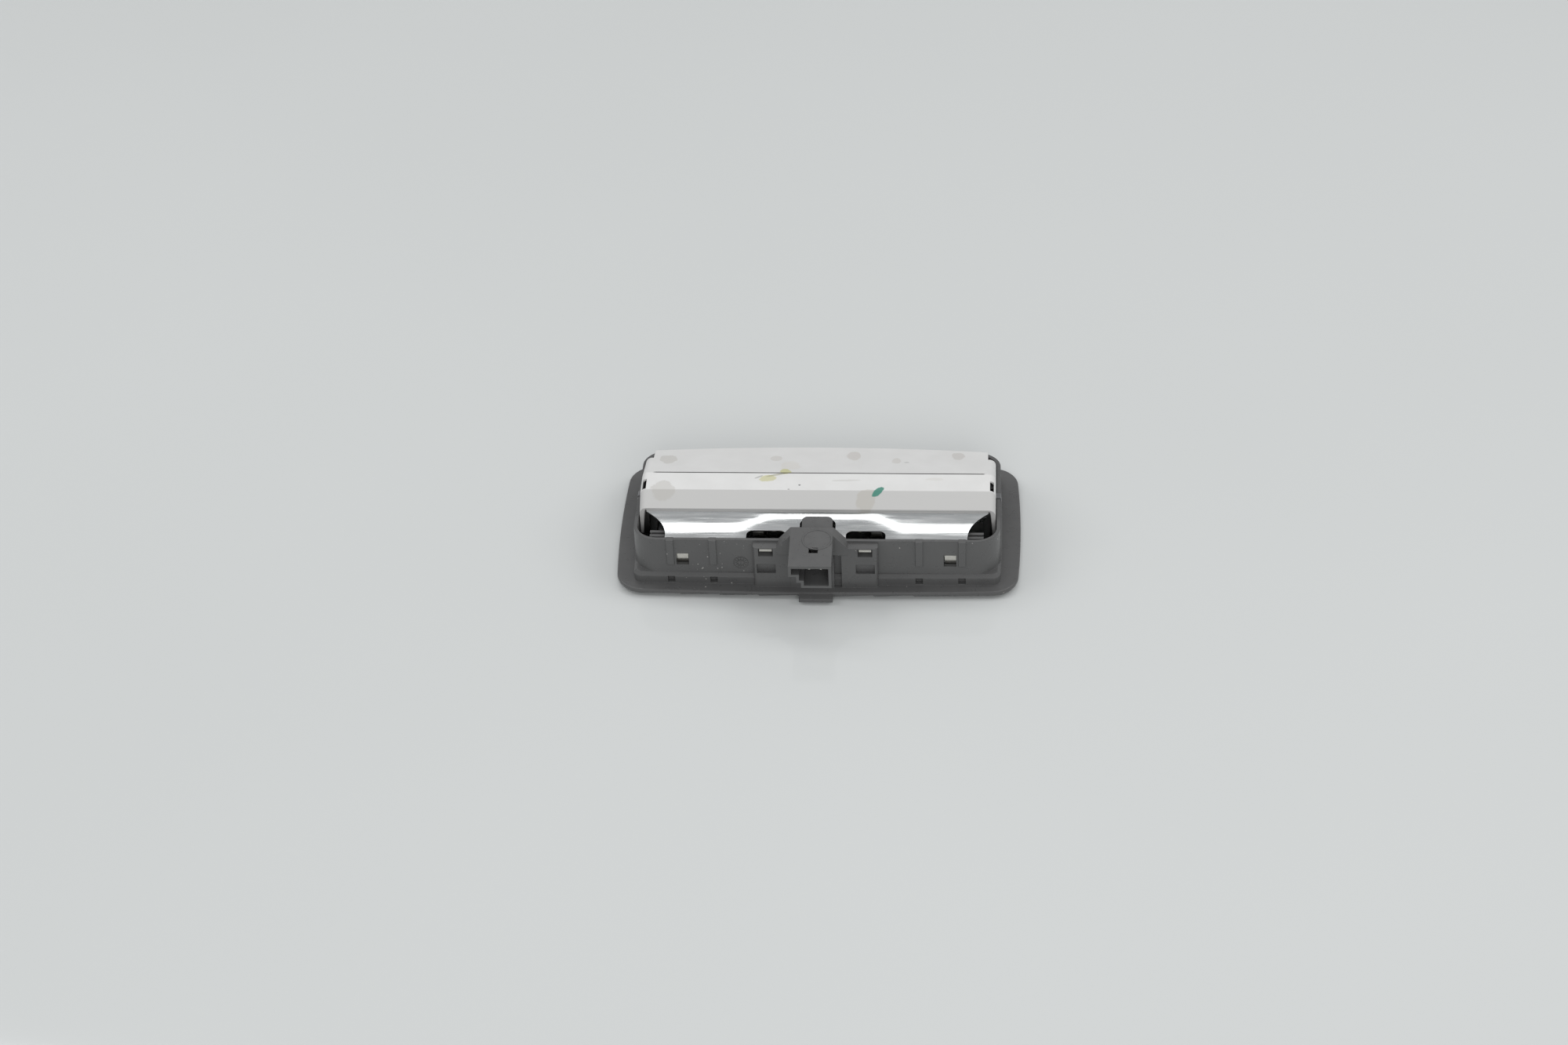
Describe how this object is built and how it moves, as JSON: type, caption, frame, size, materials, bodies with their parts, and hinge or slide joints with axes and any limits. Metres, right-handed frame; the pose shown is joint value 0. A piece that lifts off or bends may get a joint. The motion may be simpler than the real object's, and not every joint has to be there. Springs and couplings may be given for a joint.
{
  "type": "car interior light",
  "caption": "Recessed car roof light seen from its back: dark moulded bezel housing with a side-facing connector socket, folded white reflector, clear lens, festoon bulbs and spring contacts.",
  "frame": {"origin": "middle of the lens face, which the light lies on", "axes": "+X along the light, -Y towards the connector's mouth, +Z from the lens to the back"},
  "size_m": [0.153, 0.0883, 0.03],
  "materials": {
    "housing_plastic": "satin moulded",
    "lens_clear": "clear with optic ribs",
    "reflector_white": "satin white paint",
    "strip_bright": "bright rolled",
    "bulb_glass": "clear",
    "cap_metal": "nickel plated",
    "contact_metal": "tinned"
  },
  "bodies": {
    "root": {"housing": "housing_plastic", "lens": "lens_clear", "reflector": "reflector_white", "reflector_strip": "strip_bright", "live_conductor": "contact_metal", "ground_conductor": "contact_metal", "left_bulb_glass": "bulb_glass", "left_bulb_outer_cap": "cap_metal", "left_outer_contact": "contact_metal", "left_bulb_inner_cap": "cap_metal", "left_inner_contact": "contact_metal", "right_bulb_glass": "bulb_glass", "right_bulb_outer_cap": "cap_metal", "right_outer_contact": "contact_metal", "right_bulb_inner_cap": "cap_metal", "right_inner_contact": "contact_metal"}
  },
  "joints": []
}
